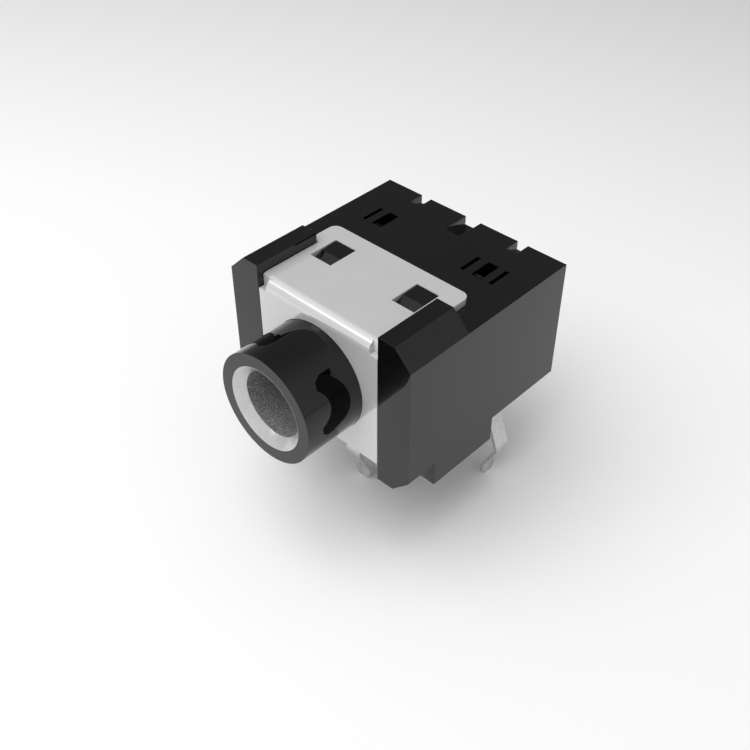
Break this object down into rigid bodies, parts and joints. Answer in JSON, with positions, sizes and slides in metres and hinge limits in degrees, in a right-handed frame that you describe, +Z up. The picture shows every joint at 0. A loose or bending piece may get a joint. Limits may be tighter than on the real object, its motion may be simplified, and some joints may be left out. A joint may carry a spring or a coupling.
{
  "type": "audio_jack_socket",
  "caption": "Board-mount audio jack socket, glossy black housing with a round metal-lined nose, folded metal shield over the front and top, kinked solder legs.",
  "frame": {"origin": "Bottom centre of the box: level with the tips of the solder legs, in the middle of the width and of the length from the nose's end to the back.", "axes": "+X to the right seen from behind the body, +Y into the body along the plug's path, +Z up off the board."},
  "size_m": [0.012, 0.0152, 0.014],
  "materials": {
    "black_moulding": "glossy moulded",
    "tinned_sheet": "bright tin plate",
    "plated_lining": "bright nickel plate",
    "silvered_contact": "satin plate"
  },
  "bodies": {
    "root": {"housing": "black_moulding", "shield": "tinned_sheet", "bushing": "plated_lining", "tip_spring": "silvered_contact", "ring_spring": "silvered_contact", "tip_switch": "silvered_contact", "sleeve_contact": "silvered_contact"}
  },
  "joints": []
}
